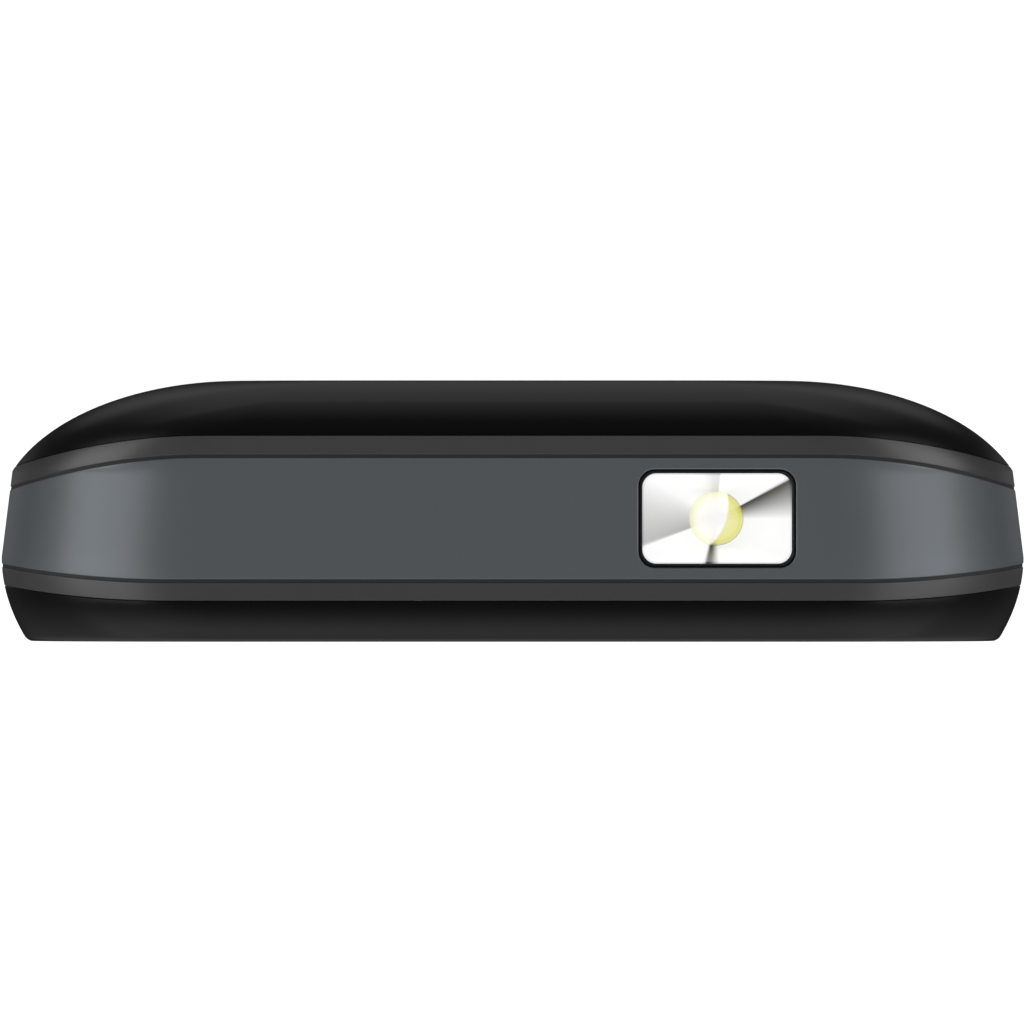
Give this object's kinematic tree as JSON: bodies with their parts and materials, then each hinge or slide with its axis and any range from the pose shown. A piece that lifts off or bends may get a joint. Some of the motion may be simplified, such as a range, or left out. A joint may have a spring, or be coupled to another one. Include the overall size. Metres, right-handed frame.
{
  "type": "mobile phone",
  "caption": "Slim bar phone with a domed lift-off back cover, grey trim bands, numbered keys, a display and a torch in its top end.",
  "frame": {"origin": "centre of the footprint, on the surface that the phone's bottom end stands on", "axes": "+X to the right as seen from the front, +Y from the front to the back, +Z from the bottom end to the top end with the torch"},
  "size_m": [0.05, 0.0128, 0.116],
  "materials": {
    "black_gloss": "glossy black moulding",
    "trim_grey": "satin dark grey",
    "slate_paint": "satin slate paint with a metallic flake",
    "chassis_black": "fine matt moulding",
    "clear_window": "clear, polished",
    "screen_glass": "polished, dark",
    "bright_steel": "pressed sheet, satin",
    "silver_mirror": "metallised, mirror bright",
    "gold_contact": "plated",
    "board_green": "lacquered board",
    "led_yellow": "clear resin over phosphor",
    "soft_rubber": "matt silicone",
    "battery_label": "satin wrap",
    "amber_sheet": "polyester film"
  },
  "bodies": {
    "body": {"antenna": "gold_contact", "audio_jack": "chassis_black", "battery_connector": "gold_contact", "camera_module": "chassis_black", "display_window": "screen_glass", "dome_sheet": "amber_sheet", "earpiece": "bright_steel", "earpiece_mesh": "bright_steel", "front_housing": "black_gloss", "front_trim": "trim_grey", "keypad_mat": "soft_rubber", "lcd_frame": "bright_steel", "lcd_panel": "screen_glass", "loudspeaker": "bright_steel", "main_board": "board_green", "memory_card_socket": "chassis_black", "microphone": "gold_contact", "mid_frame": "slate_paint", "rear_chassis": "chassis_black", "rear_trim": "trim_grey", "screw_1": "bright_steel", "screw_2": "bright_steel", "screw_3": "bright_steel", "screw_4": "bright_steel", "screw_5": "bright_steel", "screw_6": "bright_steel", "shield_can": "bright_steel", "sim_socket_1": "bright_steel", "sim_socket_2": "bright_steel", "torch_gasket": "soft_rubber", "torch_led": "led_yellow", "torch_reflector": "silver_mirror", "torch_window": "clear_window", "usb_socket": "bright_steel", "vibration_motor": "bright_steel"},
    "battery_cover": {"battery_cover": "black_gloss", "camera_window": "screen_glass", "speaker_mesh": "bright_steel"},
    "battery": {"battery": "battery_label"},
    "memory_card_gate": {"memory_card_gate": "bright_steel"},
    "nav_ring": {"nav_ring": "trim_grey"},
    "vibration_weight": {"vibration_weight": "bright_steel"},
    "key_0": {"key_0": "black_gloss"},
    "key_1": {"key_1": "black_gloss"},
    "key_2": {"key_2": "black_gloss"},
    "key_3": {"key_3": "black_gloss"},
    "key_4": {"key_4": "black_gloss"},
    "key_5": {"key_5": "black_gloss"},
    "key_6": {"key_6": "black_gloss"},
    "key_7": {"key_7": "black_gloss"},
    "key_8": {"key_8": "black_gloss"},
    "key_9": {"key_9": "black_gloss"},
    "key_star": {"key_star": "black_gloss"},
    "key_hash": {"key_hash": "black_gloss"},
    "soft_key_left": {"soft_key_left": "black_gloss"},
    "soft_key_right": {"soft_key_right": "black_gloss"},
    "call_key": {"call_key": "black_gloss"},
    "end_key": {"end_key": "black_gloss"},
    "select_key": {"select_key": "black_gloss"}
  },
  "joints": [
    {"name": "key_0_press", "type": "slide", "parent": "body", "child": "key_0", "axis": [0, 1, 0], "range_m": [0, 0.00025], "stiffness_N_per_m": 1000},
    {"name": "key_1_press", "type": "slide", "parent": "body", "child": "key_1", "axis": [0, 1, 0], "range_m": [0, 0.00025], "stiffness_N_per_m": 1000},
    {"name": "key_2_press", "type": "slide", "parent": "body", "child": "key_2", "axis": [0, 1, 0], "range_m": [0, 0.00025], "stiffness_N_per_m": 1000},
    {"name": "key_3_press", "type": "slide", "parent": "body", "child": "key_3", "axis": [0, 1, 0], "range_m": [0, 0.00025], "stiffness_N_per_m": 1000},
    {"name": "key_4_press", "type": "slide", "parent": "body", "child": "key_4", "axis": [0, 1, 0], "range_m": [0, 0.00025], "stiffness_N_per_m": 1000},
    {"name": "key_5_press", "type": "slide", "parent": "body", "child": "key_5", "axis": [0, 1, 0], "range_m": [0, 0.00025], "stiffness_N_per_m": 1000},
    {"name": "key_6_press", "type": "slide", "parent": "body", "child": "key_6", "axis": [0, 1, 0], "range_m": [0, 0.00025], "stiffness_N_per_m": 1000},
    {"name": "key_7_press", "type": "slide", "parent": "body", "child": "key_7", "axis": [0, 1, 0], "range_m": [0, 0.00025], "stiffness_N_per_m": 1000},
    {"name": "key_8_press", "type": "slide", "parent": "body", "child": "key_8", "axis": [0, 1, 0], "range_m": [0, 0.00025], "stiffness_N_per_m": 1000},
    {"name": "key_9_press", "type": "slide", "parent": "body", "child": "key_9", "axis": [0, 1, 0], "range_m": [0, 0.00025], "stiffness_N_per_m": 1000},
    {"name": "key_star_press", "type": "slide", "parent": "body", "child": "key_star", "axis": [0, 1, 0], "range_m": [0, 0.00025], "stiffness_N_per_m": 1000},
    {"name": "key_hash_press", "type": "slide", "parent": "body", "child": "key_hash", "axis": [0, 1, 0], "range_m": [0, 0.00025], "stiffness_N_per_m": 1000},
    {"name": "soft_key_left_press", "type": "slide", "parent": "body", "child": "soft_key_left", "axis": [0, 1, 0], "range_m": [0, 0.00025], "stiffness_N_per_m": 1000},
    {"name": "soft_key_right_press", "type": "slide", "parent": "body", "child": "soft_key_right", "axis": [0, 1, 0], "range_m": [0, 0.00025], "stiffness_N_per_m": 1000},
    {"name": "call_key_press", "type": "slide", "parent": "body", "child": "call_key", "axis": [0, 1, 0], "range_m": [0, 0.00025], "stiffness_N_per_m": 1000},
    {"name": "end_key_press", "type": "slide", "parent": "body", "child": "end_key", "axis": [0, 1, 0], "range_m": [0, 0.00025], "stiffness_N_per_m": 1000},
    {"name": "select_key_press", "type": "slide", "parent": "body", "child": "select_key", "axis": [0, 1, 0], "range_m": [0, 0.00025], "stiffness_N_per_m": 1000},
    {"name": "nav_rock", "type": "hinge", "parent": "body", "child": "nav_ring", "pos_m": [0, -0.00456, 0.0448], "axis": [1, 0, 0], "range_deg": [-1.2, 1.2], "stiffness_Nm_per_rad": 0.2},
    {"name": "cover_lift", "type": "slide", "parent": "body", "child": "battery_cover", "axis": [0, 1, 0], "range_m": [0, 0.03]},
    {"name": "battery_lift", "type": "slide", "parent": "body", "child": "battery", "axis": [0, 1, 0], "range_m": [0, 0.015]},
    {"name": "gate_swing", "type": "hinge", "parent": "body", "child": "memory_card_gate", "pos_m": [-0.0089, 0.00029, 0.0955], "axis": [1, 0, 0], "range_deg": [0, 95]},
    {"name": "weight_spin", "type": "hinge", "parent": "body", "child": "vibration_weight", "pos_m": [0.0135, 0.00084, 0.1], "axis": [1, 0, 0], "continuous": true}
  ],
  "couplings": [
    {"joint": "battery_lift", "follows": "cover_lift", "ratio": 0.5},
    {"joint": "gate_swing", "follows": "cover_lift", "rad_per_m": 55.2}
  ]
}
